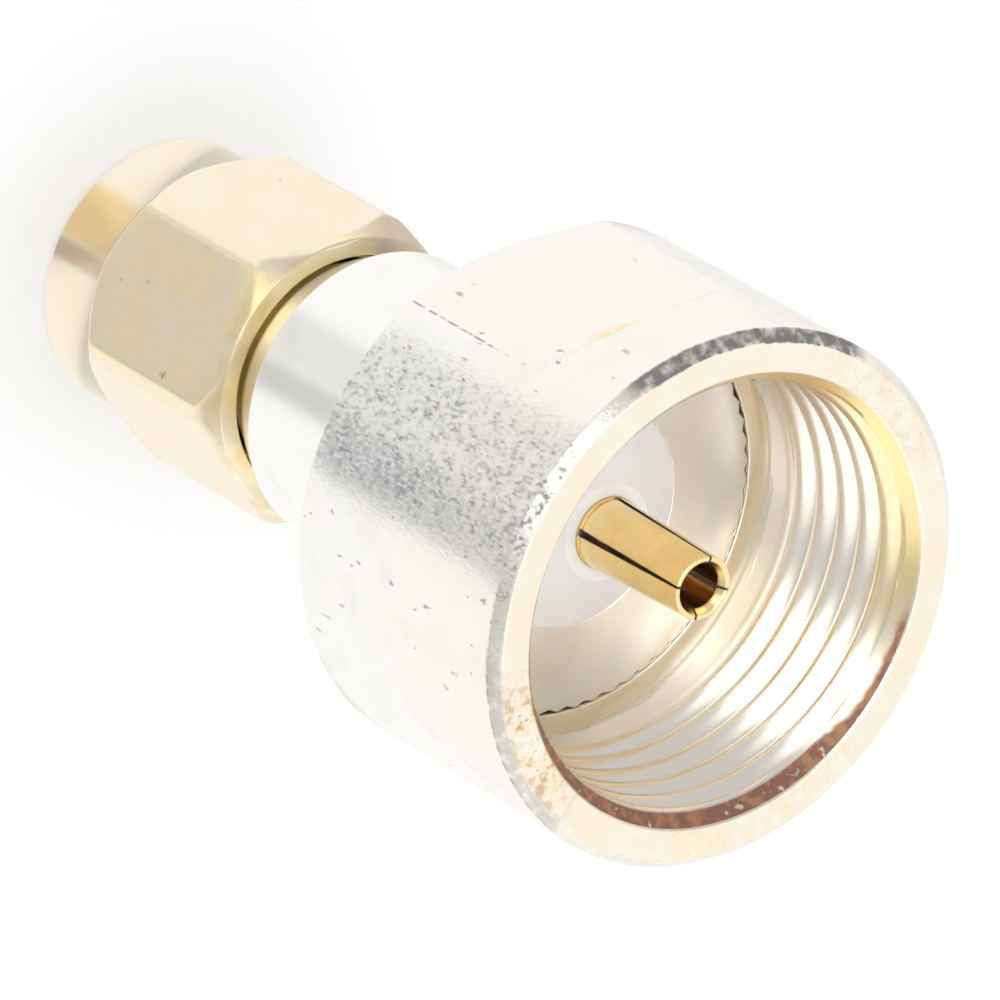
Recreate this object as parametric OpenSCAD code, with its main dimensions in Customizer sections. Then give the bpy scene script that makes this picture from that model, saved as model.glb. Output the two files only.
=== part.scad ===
// Coaxial adapter: an SMA plug on one end, a larger threaded plug with a slotted socket contact on the other.
// It stands on the front face of the SMA nut. +Z runs along the axis towards the open mouth of the shell.

/* [Coupling shell] */
// Outside diameter
shell_d = 15.1; // [14.6:0.1:18]
// Length, rear face to mouth
shell_len = 9.65; // [9:0.05:13]
// Distance across the two wrench flats
shell_af = 13.74; // [13.5:0.02:14.4]
// Level length of each wrench flat, from the rear face
flat_len = 5.7; // [3:0.1:6.5]
// Radius of the cutter that leaves the run-out of a flat
runout_r = 2.0; // [1:0.1:4]
// Chamfer of the rear edge
shell_rear_chamfer = 0.85; // [0.2:0.05:1.1]
// Chamfer of the mouth's outer edge
mouth_edge = 0.3; // [0.1:0.05:0.5]
// Diameter of the opening at the mouth's face
mouth_d = 12.84; // [12.4:0.02:13.2]
// Minor diameter of the internal thread
thread_minor_d = 11.9; // [11.7:0.02:12.2]
// Major diameter of the internal thread
thread_major_d = 12.76; // [12.4:0.02:12.9]
// Pitch of the internal thread
thread_pitch = 0.94; // [0.6:0.02:1.2]
// Width of the thread's crest
crest_w = 0.2; // [0.1:0.02:0.3]
// Length of the thread, from the mouth's face to the relief
thread_len = 6.0; // [4:0.1:6.5]
// Diameter of the relief behind the thread
relief_d = 13.0; // [12.6:0.02:13.1]
// Thickness of the rear web under the body's flange
web_t = 1.9; // [1.2:0.1:2.2]

/* [Front body] */
// Diameter over the knurled rim
rim_d = 11.44; // [10.9:0.02:11.6]
// Thickness of the flange
flange_t = 0.92; // [0.6:0.02:1.4]
// Height of the flange's face above the shell's inner shoulder
flange_proud = 0.06; // [0:0.01:0.2]
// Number of teeth on the rim
rim_teeth = 60; // [36:1:72]
// Depth of the teeth
tooth_depth = 0.17; // [0.1:0.01:0.35]
// Diameter of the hub that the shell turns on
hub_d = 7.0; // [6.8:0.1:7.6]
// Diameter of the spigot pressed into the main body
spigot_d = 5.8; // [5:0.1:6.2]
// Length of the spigot
spigot_len = 3.0; // [1.5:0.1:4]

/* [Main body] */
// Diameter of the neck
neck_d = 8.28; // [8:0.02:9]
// Length from the SMA nut's end of the taper to the rear shoulder
neck_len = 7.64; // [5:0.02:10]
// Length of the taper at the front of the neck
taper_len = 1.35; // [0.5:0.05:1.6]
// Diameter at the thin end of the taper
taper_d = 6.94; // [6.6:0.02:7.6]
// Diameter of the shank inside the nut
shank_d = 6.38; // [6.2:0.02:6.5]
// Outside diameter of the outer contact tube
tube_d = 4.6; // [4.5:0.02:4.9]
// Length of the outer contact tube
tube_len = 2.65; // [2:0.05:3]
// Thickness of the shank's front flange, ahead of the ring groove
land_t = 0.7; // [0.5:0.05:1]
// Depth of the snap ring's groove in the shank
groove_depth = 0.45; // [0.3:0.05:0.6]

/* [SMA nut] */
// Length of the nut
nut_len = 8.85; // [8.5:0.05:10]
// Distance across the hexagon's flats
nut_af = 8.0; // [7.9:0.02:9]
// Diameter that the hexagon's corners are turned to
nut_corner_d = 9.0; // [8.8:0.01:9.3]
// Diameter of the front collar
collar_d = 7.76; // [7.6:0.02:8]
// Length of the front collar
collar_len = 2.3; // [1.5:0.05:3]
// Chamfer of the collar's front edge
collar_edge = 0.18; // [0.1:0.02:0.4]
// Angle of the hexagon's corner chamfers, from the axis
corner_angle = 35; // [25:1:50]
// Length of the nut's rear end past the corners
nut_tail = 0.65; // [0.5:0.05:1.2]
// Turn of the nut about the axis, from the shell's flats
nut_turn = -5; // [-30:1:30]
// Minor diameter of the nut's thread
nut_thread_d = 5.66; // [5.5:0.02:5.8]
// Length of the thread
nut_thread_len = 4.3; // [3.5:0.1:4.6]
// Diameter of the lead-in at the nut's front
nut_mouth_d = 6.5; // [6.3:0.02:6.8]
// Diameter of the counterbore at the nut's rear
nut_rear_d = 7.02; // [6.9:0.02:7.4]
// Depth of the counterbore at the nut's rear
nut_rear_depth = 0.6; // [0.3:0.05:0.7]
// Gap between the nut's rear face and the taper
nut_gap = 0.06; // [0.05:0.01:0.3]
// Recess of the reference plane behind the nut's front face
plane_recess = 2.8; // [2.6:0.05:3.2]
// Thickness of the gasket
gasket_t = 0.7; // [0.4:0.05:0.9]

/* [Snap ring] */
// Width of the split ring, along the axis
ring_t = 0.5; // [0.3:0.02:0.6]
// Depth of the ring's groove in the nut
nut_groove_depth = 0.36; // [0.2:0.02:0.4]
// Width of the split, in degrees
ring_split = 24; // [10:1:60]

/* [Contacts and insulators] */
// Diameter of the socket contact where it leaves the insulator
contact_d = 2.0; // [1.8:0.02:2.3]
// Diameter of the socket contact at its tip
contact_tip_d = 1.78; // [1.6:0.02:2]
// Bore of the socket contact
contact_bore_d = 1.24; // [1:0.02:1.3]
// Lead-in chamfer of the contact's bore
contact_lead = 0.14; // [0.05:0.01:0.18]
// Distance of the contact's tip behind the mouth's face
tip_recess = 1.06; // [0.4:0.02:2]
// Width of the four slots where they start
slot_w = 0.18; // [0.1:0.01:0.3]
// Width of the four slots at the tip, where the fingers spring together
slot_tip_w = 0.04; // [0.02:0.01:0.3]
// Turn of the slots about the axis
slot_turn = -23; // [-45:1:45]
// Height of the insulator's conical boss round the contact
boss_h = 1.45; // [0.2:0.05:1.8]
// Width of the flat top of the boss, outside the contact
boss_top_w = 0.35; // [0.1:0.05:0.6]
// Diameter of the face insulator
face_ins_d = 6.5; // [6:0.02:6.6]
// Length of the face insulator's wide part
face_ins_len = 2.0; // [1.2:0.1:2.4]
// Diameter of the SMA insulator
sma_ins_d = 4.1; // [3.9:0.02:4.3]
// Diameter of the pin inside the insulators
core_d = 1.27; // [1.2:0.01:1.4]
// Diameter of the pin ahead of the reference plane
pin_d = 0.914; // [0.9:0.001:0.94]
// Length of the pin ahead of the reference plane
pin_len = 2.4; // [2:0.05:2.55]

/* [Fits] */
// Radial clearance of the two turning nuts
run_gap = 0.06; // [0.03:0.01:0.09]
// Axial clearance of the two turning nuts
end_gap = 0.05; // [0.03:0.01:0.1]
// Radial clearance of parts that are pressed together
seat_gap = 0.01; // [0:0.005:0.02]

/* [Hidden] */
$fn = 96;
over = 1; // how far a cutting body runs past the surface it cuts
split_over = 2; // how far the ring's split is cut past its outside

// Places along the axis, from the nut's front face
plane_z = plane_recess;
tube_z = plane_z + tube_len;
shank_z = tube_z;
groove_z = shank_z + land_t;
groove_w = ring_t + 2 * end_gap;
taper_z = nut_len + nut_gap;
neck_z = taper_z + taper_len;
shoulder_z = taper_z + neck_len;
shell_z = shoulder_z + end_gap;
web_z = shell_z + web_t;
flange_z = web_z + end_gap;
face_z = flange_z + flange_t;
shelf_z = face_z - flange_proud;
mouth_z = shell_z + shell_len;
relief_z = mouth_z - thread_len;
spigot_z = shoulder_z - spigot_len;
ins_step_z = face_z - face_ins_len;
boss_z = face_z + boss_h;
tip_z = mouth_z - tip_recess;

// Radii that follow from the fits
hub_r = hub_d / 2;
shank_r = shank_d / 2;
nut_bore_r = shank_r + run_gap;
groove_r = shank_r - groove_depth;
nut_groove_r = nut_bore_r + nut_groove_depth;
cbore_r = rim_d / 2 + run_gap;

// The joint between the pin and the socket contact
tail_d = 0.8;
tail_len = 1.6;
contact_inset = 0.5; // start of the contact's full diameter inside the insulator's wide part
contact_neck_z = spigot_z + tail_len;
contact_z = ins_step_z + contact_inset;
tip_round = 0.08;
edge = 0.1; // small chamfer on turned edges

// A ring or disc turned from an outline of [radius, height] points
module turned(points) rotate_extrude() polygon(points);

// The outline that one wrench flat's cutter sweeps, in [distance from the axis, height]
module flat_cutter() {
    floor_z = shell_z + flat_len;
    rotate([90, 0, -90])
        translate([0, 0, -shell_d])
            linear_extrude(2 * shell_d)
                union() {
                    translate([shell_af / 2, shell_z - over]) square([shell_d, flat_len + over]);
                    translate([shell_af / 2 + runout_r, floor_z]) circle(r = runout_r);
                }
}

module coupling_shell() {
    r = shell_d / 2;
    web_bore_r = hub_r + run_gap;
    minor_r = thread_minor_d / 2;
    lead_in = mouth_d / 2 - minor_r;
    turns = floor((thread_len - lead_in) / thread_pitch);
    // One ring groove for each turn of the thread
    grooves = [
        for (i = [0:turns - 1])
            let (top = mouth_z - lead_in - i * thread_pitch)
                each [[minor_r, top - crest_w / 2], [thread_major_d / 2, top - thread_pitch / 2],
                      [minor_r, top - thread_pitch + crest_w / 2]]
    ];
    outside = [
        [web_bore_r, shell_z], [r - shell_rear_chamfer, shell_z], [r, shell_z + shell_rear_chamfer],
        [r, mouth_z - mouth_edge], [r - mouth_edge, mouth_z], [mouth_d / 2, mouth_z], [minor_r, mouth_z - lead_in]
    ];
    behind_thread = [
        [minor_r, relief_z], [relief_d / 2, relief_z - (relief_d / 2 - minor_r) / 2],
        [relief_d / 2, shelf_z], [cbore_r, shelf_z], [cbore_r, web_z], [web_bore_r, web_z]
    ];
    color("gainsboro")
        difference() {
            turned(concat(outside, grooves, behind_thread));
            for (side = [0, 180]) rotate([0, 0, side]) flat_cutter();
        }
}

// Outline of the knurled rim: one sharp tooth after another
module rim_outline() {
    step = 360 / rim_teeth;
    polygon([
        for (i = [0:rim_teeth - 1]) for (p = [[0, 0], [0.5, tooth_depth]])
            (rim_d / 2 - p[1]) * [cos((i + p[0]) * step), sin((i + p[0]) * step)]
    ]);
}

module front_body() {
    color("silver")
        difference() {
            union() {
                translate([0, 0, flange_z]) linear_extrude(flange_t) rim_outline();
                translate([0, 0, shoulder_z]) cylinder(r = hub_r, h = flange_z - shoulder_z + flange_t / 2);
                translate([0, 0, spigot_z]) cylinder(d = spigot_d, h = spigot_len + end_gap);
            }
            translate([0, 0, ins_step_z]) cylinder(d = face_ins_d, h = face_ins_len + over);
            translate([0, 0, spigot_z - over]) cylinder(d = sma_ins_d, h = ins_step_z - spigot_z + 2 * over);
        }
}

module main_body() {
    neck_r = neck_d / 2;
    bore_r = sma_ins_d / 2;
    socket_r = spigot_d / 2 + seat_gap;
    color("gainsboro")
        turned([
            [bore_r, plane_z], [tube_d / 2 - edge, plane_z], [tube_d / 2, plane_z + edge], [tube_d / 2, tube_z],
            [shank_r, shank_z], [shank_r, groove_z], [groove_r, groove_z], [groove_r, groove_z + groove_w],
            [shank_r, groove_z + groove_w], [shank_r, taper_z - nut_gap], [taper_d / 2, taper_z],
            [neck_r, neck_z], [neck_r, shoulder_z - edge], [neck_r - edge, shoulder_z],
            [socket_r, shoulder_z], [socket_r, spigot_z], [bore_r, spigot_z]
        ]);
}

module face_insulator() {
    wide_r = face_ins_d / 2 - seat_gap;
    stem_r = sma_ins_d / 2 - seat_gap;
    top_r = contact_d / 2 + boss_top_w;
    color("white")
        turned([
            [core_d / 2, spigot_z], [stem_r, spigot_z], [stem_r, ins_step_z], [wide_r, ins_step_z],
            [wide_r, face_z], [wide_r - edge, face_z], [top_r + edge, boss_z - edge], [top_r, boss_z],
            [contact_d / 2, boss_z], [contact_d / 2, contact_z], [core_d / 2, contact_z]
        ]);
}

// A slot across the whole contact that narrows towards the tip
module slot_cutter(start) {
    rotate([90, 0, 90])
        translate([0, 0, -contact_d])
            linear_extrude(2 * contact_d)
                polygon([
                    [-slot_w / 2, start], [slot_w / 2, start], [slot_tip_w / 2, tip_z], [slot_tip_w / 2, tip_z + over],
                    [-slot_tip_w / 2, tip_z + over], [-slot_tip_w / 2, tip_z]
                ]);
}

module socket_contact() {
    r = contact_d / 2;
    tip_r = contact_tip_d / 2;
    bore_r = contact_bore_d / 2;
    slot_z = boss_z + edge;
    color("goldenrod")
        difference() {
            turned([
                [tail_d / 2, spigot_z], [core_d / 2, spigot_z], [core_d / 2, contact_z], [r, contact_z],
                [r, boss_z], [tip_r, tip_z - tip_round], [tip_r - tip_round, tip_z],
                [bore_r + contact_lead, tip_z], [bore_r, tip_z - contact_lead],
                [bore_r, slot_z - bore_r], [0, slot_z - 1.3 * bore_r], [0, contact_neck_z], [tail_d / 2, contact_neck_z]
            ]);
            for (a = [0, 90]) rotate([0, 0, slot_turn + a]) slot_cutter(slot_z);
        }
}

module sma_insulator() {
    color("white")
        turned([
            [core_d / 2, plane_z], [sma_ins_d / 2 - seat_gap, plane_z],
            [sma_ins_d / 2 - seat_gap, spigot_z], [core_d / 2, spigot_z]
        ]);
}

module centre_pin() {
    r = pin_d / 2;
    tip = plane_z - pin_len;
    color("goldenrod")
        turned([
            [0, tip], [r / 2, tip], [r, tip + r], [r, plane_z], [core_d / 2, plane_z],
            [core_d / 2, spigot_z], [tail_d / 2 - seat_gap, spigot_z],
            [tail_d / 2 - seat_gap, contact_neck_z - edge], [0, contact_neck_z - edge]
        ]);
}

module sma_nut() {
    corner_r = nut_corner_d / 2;
    collar_r = collar_d / 2;
    front_rise = (corner_r - collar_r) / tan(corner_angle);
    tail_drop = nut_tail * tan(corner_angle);
    thread_r = nut_thread_d / 2;
    rear_r = nut_rear_d / 2;
    color("palegoldenrod")
        difference() {
            intersection() {
                turned([
                    [0, 0], [collar_r - collar_edge, 0], [collar_r, collar_edge], [collar_r, collar_len],
                    [corner_r, collar_len + front_rise], [corner_r, nut_len - nut_tail],
                    [corner_r - tail_drop, nut_len], [0, nut_len]
                ]);
                rotate([0, 0, nut_turn - 90]) rotate([0, 0, 30])
                    cylinder(r = nut_af / sqrt(3), h = nut_len, $fn = 6);
            }
            turned([
                [0, -over], [nut_mouth_d / 2, -over], [nut_mouth_d / 2, 0],
                [thread_r, nut_mouth_d / 2 - thread_r], [thread_r, nut_thread_len],
                [nut_bore_r, nut_thread_len + (nut_bore_r - thread_r) / 2],
                [nut_bore_r, groove_z - end_gap], [nut_groove_r, groove_z - end_gap],
                [nut_groove_r, groove_z + groove_w + end_gap], [nut_bore_r, groove_z + groove_w + end_gap],
                [nut_bore_r, nut_len - nut_rear_depth], [rear_r, nut_len - nut_rear_depth],
                [rear_r, nut_len + over], [0, nut_len + over]
            ]);
        }
}

module nut_snap_ring() {
    inner_r = groove_r + seat_gap;
    outer_r = nut_groove_r - 2 * run_gap;
    color("silver")
        difference() {
            translate([0, 0, groove_z + end_gap])
                difference() {
                    cylinder(r = outer_r, h = ring_t);
                    translate([0, 0, -over]) cylinder(r = inner_r, h = ring_t + 2 * over);
                }
            reach = outer_r + split_over;
            translate([0, 0, groove_z - over])
                linear_extrude(ring_t + 3 * over)
                    polygon([[0, 0], reach * [cos(ring_split / 2), -sin(ring_split / 2)],
                             reach * [cos(ring_split / 2), sin(ring_split / 2)]]);
        }
}

module nut_gasket() {
    color("indianred")
        translate([0, 0, shank_z - gasket_t])
            difference() {
                cylinder(r = shank_r - edge, h = gasket_t);
                translate([0, 0, -over]) cylinder(r = tube_d / 2 + seat_gap, h = gasket_t + 2 * over);
            }
}

coupling_shell();
front_body();
main_body();
face_insulator();
socket_contact();
sma_insulator();
centre_pin();
sma_nut();
nut_snap_ring();
nut_gasket();
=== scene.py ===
"""Finish of a coaxial adapter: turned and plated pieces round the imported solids, and the stage they stand on.

The axis is Z. The small hexagonal nut stands on the floor and the mouth of the coupling shell points up.
Lengths are in metres, as in the frame; MM turns a length in millimetres into metres.
"""

import math

import bmesh
import bpy
from bpy.props import FloatProperty, FloatVectorProperty, IntProperty, PointerProperty
from mathutils import Matrix, Vector


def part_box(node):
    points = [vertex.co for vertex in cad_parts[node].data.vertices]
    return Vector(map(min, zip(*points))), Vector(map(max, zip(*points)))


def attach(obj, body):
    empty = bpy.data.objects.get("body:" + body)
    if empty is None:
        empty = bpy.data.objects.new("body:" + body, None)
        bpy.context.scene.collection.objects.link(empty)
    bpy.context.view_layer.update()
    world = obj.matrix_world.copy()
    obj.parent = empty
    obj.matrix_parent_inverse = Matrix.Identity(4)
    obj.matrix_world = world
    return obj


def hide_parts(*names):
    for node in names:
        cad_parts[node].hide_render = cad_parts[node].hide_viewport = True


bl_info = {
    "name": "Coaxial Adapter Finish",
    "version": (1, 0, 0),
    "blender": (4, 5, 0),
    "location": "3D View > Sidebar > Adapter",
    "description": "Builds the plated pieces of a coaxial adapter and its stage",
    "category": "Object",
}

MM = 0.001
# Points closer than this are one point.
WELD = 0.0005 * MM
# Edges that turn by more than this stay sharp.
SHARP = math.radians(38)
# Gap between two pieces that are pressed together.
PRESS_GAP = 0.01 * MM
# Radius on the rims, and depth below a rim at which its face gives over to the rows of the bore.
RIM_RADIUS = 0.04 * MM
RIM_DEPTH = 0.05 * MM
# Columns of the meshes: round a turned piece, round the contact's stem and across a finger.
COLUMNS = 256
STEM_COLUMNS = 96
FINGER_COLUMNS = 16
# Rows of a threaded bore in one turn of the thread.
THREAD_ROWS = 16

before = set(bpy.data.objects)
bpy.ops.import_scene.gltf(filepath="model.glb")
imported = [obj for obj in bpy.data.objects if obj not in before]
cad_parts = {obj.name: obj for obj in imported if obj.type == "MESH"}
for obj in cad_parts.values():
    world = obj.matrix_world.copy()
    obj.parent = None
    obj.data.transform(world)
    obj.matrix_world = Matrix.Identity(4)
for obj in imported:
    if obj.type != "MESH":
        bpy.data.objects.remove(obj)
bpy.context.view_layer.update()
SHELL_LOW, SHELL_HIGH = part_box("coupling_shell")
FRONT_LOW, FRONT_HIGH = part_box("front_body")
MAIN_LOW, MAIN_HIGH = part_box("main_body")
NUT_LOW, NUT_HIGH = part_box("sma_nut")
CONTACT_LOW, CONTACT_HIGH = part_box("socket_contact")
INSULATOR_LOW, INSULATOR_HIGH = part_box("face_insulator")
GASKET_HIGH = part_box("nut_gasket")[1]
RING_LOW, RING_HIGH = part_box("nut_snap_ring")


# Sizes and colours


def length(name, description, millimetres):
    return FloatProperty(
        name=name, description=description, default=millimetres * MM, min=0.0, unit="LENGTH", precision=5
    )


def degrees(name, description, value):
    return FloatProperty(name=name, description=description, default=math.radians(value), subtype="ANGLE")


def number(name, description, value, unit="NONE"):
    return FloatProperty(name=name, description=description, default=value, unit=unit)


def span(name, description, ends):
    return FloatVectorProperty(name=name, description=description, default=ends, size=2)


def share(name, description, value):
    return FloatProperty(
        name=name, description=description, default=value, min=0.0, max=1.0, subtype="FACTOR"
    )


def colour(name, description, value):
    return FloatVectorProperty(
        name=name, description=description, default=value, size=3, min=0.0, max=1.0, subtype="COLOR"
    )


class ShellSizes(bpy.types.PropertyGroup):
    across_flats: length("Across Flats", "Distance across the two wrench flats", 13.74)
    flat_length: length("Flat Length", "Level length of a wrench flat from the rear face", 5.7)
    runout_radius: length("Run-out Radius", "Radius of the cutter that leaves a flat's run-out", 2.0)
    rear_chamfer: length("Rear Chamfer", "Chamfer of the rear edge", 0.85)
    mouth_chamfer: length("Mouth Chamfer", "Chamfer of the mouth's outer edge", 0.3)
    mouth_diameter: length("Mouth Diameter", "Diameter of the opening at the mouth's face", 12.84)
    minor_diameter: length("Minor Diameter", "Diameter over the thread's crests", 11.9)
    major_diameter: length("Major Diameter", "Diameter over the thread's roots", 12.76)
    pitch: length("Pitch", "Rise of the thread in one turn", 0.94)
    thread_length: length("Thread Length", "Length of the thread from the mouth's face", 6.0)
    thread_start: length("Thread Start", "Height by which the helix is raised", 0.17)
    run_out: length("Run-out", "Height above the relief at which the thread fades out", 0.6)
    relief_diameter: length("Relief Diameter", "Diameter of the relief behind the thread", 13.0)
    web_thickness: length("Web", "Thickness of the rear web", 1.9)
    hub_clearance: length("Hub Clearance", "Radial clearance on the hub and the rim", 0.06)
    edge_blend: length("Edge Blend", "Softening of the flats' edges", 0.05)


class BodySizes(bpy.types.PropertyGroup):
    teeth: IntProperty(name="Teeth", description="Teeth on the knurled rim", default=60, min=12, max=120)
    tooth_depth: length("Tooth Depth", "Depth of the rim's teeth", 0.1)
    knurl_length: length("Knurl Length", "Length of the teeth, from the flange's face", 0.2)
    flange_thickness: length("Flange", "Thickness of the flange", 0.92)
    shelf_step: length("Shelf Step", "Height of the flange's face above the shell's shoulder", 0.06)
    hub_diameter: length("Hub", "Diameter of the hub that the shell turns on", 7.0)
    spigot_diameter: length("Spigot", "Diameter of the spigot in the main body", 5.8)
    bore_diameter: length("Bore", "Diameter of the bore for the small insulator", 4.1)
    insulator_length: length("Insulator Seat", "Depth of the insulator's seat in the flange", 2.0)
    taper_length: length("Taper Length", "Length of the taper at the front of the neck", 1.35)
    taper_diameter: length("Taper Diameter", "Diameter at the thin end of the taper", 6.94)
    neck_length: length("Neck", "Length from the taper's thin end to the shoulder", 7.64)
    shank_diameter: length("Shank", "Diameter of the shank inside the nut", 6.38)
    tube_diameter: length("Tube", "Diameter of the outer contact tube", 4.6)
    groove_depth: length("Groove", "Depth of the snap ring's groove", 0.45)
    edge_radius: length("Edge Radius", "Radius on the turned edges", 0.06)


class InsulatorSizes(bpy.types.PropertyGroup):
    face_diameter: length("Face Diameter", "Diameter of the insulator in the flange", 6.48)
    pin_diameter: length("Pin Bore", "Diameter of the bore for the pin", 1.27)
    boss_top_width: length("Boss Top", "Width of the boss's flat top outside the contact", 0.35)
    step_height: length("Step Height", "Height above the seat at which the bore widens for the contact", 0.5)
    edge_radius: length("Edge Radius", "Radius on the insulator's edges", 0.08)


class ContactSizes(bpy.types.PropertyGroup):
    root_diameter: length("Root Diameter", "Diameter where the contact leaves the insulator", 2.0)
    tip_diameter: length("Tip Diameter", "Diameter at the tip", 1.78)
    bore_diameter: length("Bore", "Bore of the socket", 1.24)
    lead_in: length("Lead-in", "Chamfer of the bore at the tip", 0.14)
    tip_radius: length("Tip Radius", "Rounding of the finger tips", 0.1)
    slot_width: length("Slot Width", "Width of the slots where they start", 0.18)
    tip_slot_width: length("Slot Width At Tip", "Width of the slots between the finger tips", 0.04)
    slot_rise: length("Slot Rise", "Height of the slots' ends above the insulator's boss", 0.1)
    slot_turn: degrees("Slot Turn", "Turn of the slots about the axis", -23.0)
    edge_radius: length("Edge Radius", "Radius on the stem's edges", 0.01)
    tail_bore_diameter: length("Tail Bore", "Bore of the inner end, which holds the pin's tail", 0.8)
    tail_bore_depth: length("Tail Bore Depth", "Depth of the bore in the inner end", 1.6)
    fingers: IntProperty(name="Fingers", description="Number of contact fingers", default=4, min=2, max=8)


class NutSizes(bpy.types.PropertyGroup):
    across_flats: length("Across Flats", "Distance across the hexagon's flats", 8.0)
    corner_diameter: length("Corner Diameter", "Diameter that the corners are turned to", 9.0)
    collar_diameter: length("Collar Diameter", "Diameter of the front collar", 7.76)
    collar_length: length("Collar Length", "Length of the front collar", 2.3)
    corner_angle: degrees("Corner Angle", "Angle of the corner chamfers from the axis", 35.0)
    tail_length: length("Tail", "Length of the rear end past the corners", 0.65)
    facet_turn: degrees("Facet Turn", "Turn of the hexagon about the axis", -35.0)
    minor_diameter: length("Minor Diameter", "Diameter over the thread's crests", 5.66)
    major_diameter: length("Major Diameter", "Diameter over the thread's roots", 6.36)
    pitch: length("Pitch", "Rise of the thread in one turn", 0.7056)
    thread_length: length("Thread Length", "Length of the thread from the nut's face", 4.3)
    mouth_diameter: length("Mouth Diameter", "Diameter of the lead-in at the nut's face", 6.5)
    bore_diameter: length("Bore", "Bore that turns on the shank", 6.5)
    rear_diameter: length("Rear Diameter", "Diameter of the counterbore at the rear", 7.02)
    rear_depth: length("Rear Depth", "Depth of the counterbore at the rear", 0.6)
    ring_groove_diameter: length("Ring Groove", "Diameter of the snap ring's groove in the nut", 7.22)
    collar_edge: length("Collar Edge", "Chamfer of the collar's front edge", 0.18)
    edge_blend: length("Edge Blend", "Softening of the hexagon's edges", 0.05)


class FinishColours(bpy.types.PropertyGroup):
    nickel: colour("Nickel", "Plating of the coupling shell", (0.965, 0.945, 0.895))
    cream_nickel: colour("Cream Nickel", "Plating near the mouth and on the flats", (0.965, 0.93, 0.85))
    worn_patch: colour("Worn Patches", "Plating that is worn dull", (0.86, 0.83, 0.79))
    # This colour also gives the painted reflection stripe on the shell and the painted shade bands on the
    # flange.
    dull_nickel_and_shade: colour("Dull Nickel", "Darkest plating between the pits", (0.55, 0.555, 0.58))
    bright_nickel: colour("Bright Nickel", "Plating of the body", (0.98, 0.96, 0.92))
    satin_nickel: colour("Satin Nickel", "Plating of the flange's face", (0.975, 0.945, 0.885))
    thread_nickel: colour("Thread Nickel", "Plating in the threaded bore", (0.975, 0.925, 0.835))
    # This colour is painted shade in the roots of the thread.
    root_shade_brown: colour("Root Brown", "Tarnish in the relief behind the thread", (0.6, 0.44, 0.26))
    # This colour is a painted reflection of the gold nut, with painted shade from the gap beside it.
    nut_reflection_gold: colour("Taper Gold", "Plating of the body next to the nut", (0.88, 0.82, 0.58))
    mouth_gold: colour("Mouth Gold", "Thin plating on the mouth's face", (0.97, 0.88, 0.7))
    yellow_stain: colour("Yellow Stain", "Yellow lacquer-like stains", (0.97, 0.76, 0.35))
    ochre: colour("Ochre", "Stains where brass shows through", (0.86, 0.64, 0.3))
    burnt_brass: colour("Burnt Brass", "Dark tarnish on the lead-in", (0.2, 0.06, 0.03))
    # Tarnish also gives the painted shade inside the contact's socket.
    tarnish: colour("Tarnish", "Brown tarnish where the plating has gone", (0.45, 0.2, 0.08))
    # This colour also gives the painted shade on the nut's rear corners at one side.
    pit_brown_and_shade: colour("Pit Brown", "Corrosion in the scattered pits", (0.3, 0.18, 0.13))
    speck: colour("Specks", "Grey dirt in the small specks", (0.3, 0.28, 0.29))
    # This colour also gives the painted dark reflection on the mouth's edge and the painted shade in the
    # contact's slots.
    grime_and_shade: colour("Grime", "Dirt in the pits and along the edges", (0.05, 0.045, 0.05))
    brass: colour("Brass", "Metal under the plating", (0.8, 0.55, 0.2))
    pale_gold: colour("Pale Gold", "Plating of the small nut", (0.96, 0.85, 0.65))
    olive_gold: colour("Olive Gold", "Plating of the nut where it is handled", (0.97, 0.83, 0.54))
    amber: colour("Amber", "Deeper gold", (0.9, 0.62, 0.26))
    contact_gold: colour("Contact Gold", "Plating of the contacts", (0.985, 0.8, 0.42))
    ptfe: colour("Insulator", "White of the insulators", (0.96, 0.95, 0.96))
    ptfe_shade: colour("Insulator Shade", "Cloudy parts of the insulators", (0.88, 0.87, 0.89))
    spring_bronze: colour("Spring Bronze", "Metal of the snap ring", (0.6, 0.48, 0.3))
    gasket: colour("Gasket", "Rubber of the gasket", (0.5, 0.05, 0.02))
    gasket_bloom: colour("Gasket Bloom", "Dusty bloom on the gasket", (0.62, 0.2, 0.15))


class StageSizes(bpy.types.PropertyGroup):
    azimuth: degrees("Camera Azimuth", "Direction of the camera round the axis", 45.0)
    elevation: degrees("Camera Elevation", "Height of the camera above the horizon", 47.34)
    roll: degrees("Camera Roll", "Turn of the camera about its line of sight", 120.41)
    distance: length("Camera Distance", "Distance from the camera to the point it looks at", 400.0)
    sideways: length("Target Offset", "Sideways place of the point that the camera looks at", 0.694)
    height: length("Target Height", "Height of the point that the camera looks at", 16.67)
    lens: number("Lens", "Focal length", 540.2, "CAMERA")
    floor_size: length("Floor", "Width of the floor", 4000.0)
    floor_tone: share("Floor Tone", "Paleness of the floor", 0.92)
    floor_glow: share("Floor Glow", "Share of the floor's look that is white light of its own", 0.45)
    first_screen: span("First Screen", "Turns of the first screen's edges, in degrees", (-10.0, 27.0))
    first_tone: share("First Screen Tone", "Brightness of the first screen", 0.8)
    second_screen: span("Second Screen", "Turns of the darkest screen's edges, in degrees", (-38.0, -14.0))
    second_tone: share("Second Screen Tone", "Brightness of the darkest screen", 0.62)
    screen_softness: number("Screen Softness", "Softness of these two screens' edges, in degrees", 5.0)
    third_screen: span("Third Screen", "Turns of the faint screen's edges, in degrees", (140.0, 165.0))
    third_tone: share("Third Screen Tone", "Brightness of the faint screen", 0.88)
    third_softness: number("Third Softness", "Softness of the faint screen's edges, in degrees", 12.0)
    top_window: number("Top Window", "Extra brightness straight above", 4.0)
    ceiling: share("Ceiling", "Brightness above the horizon between the windows", 0.6)


# Node trees written as formulas


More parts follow.
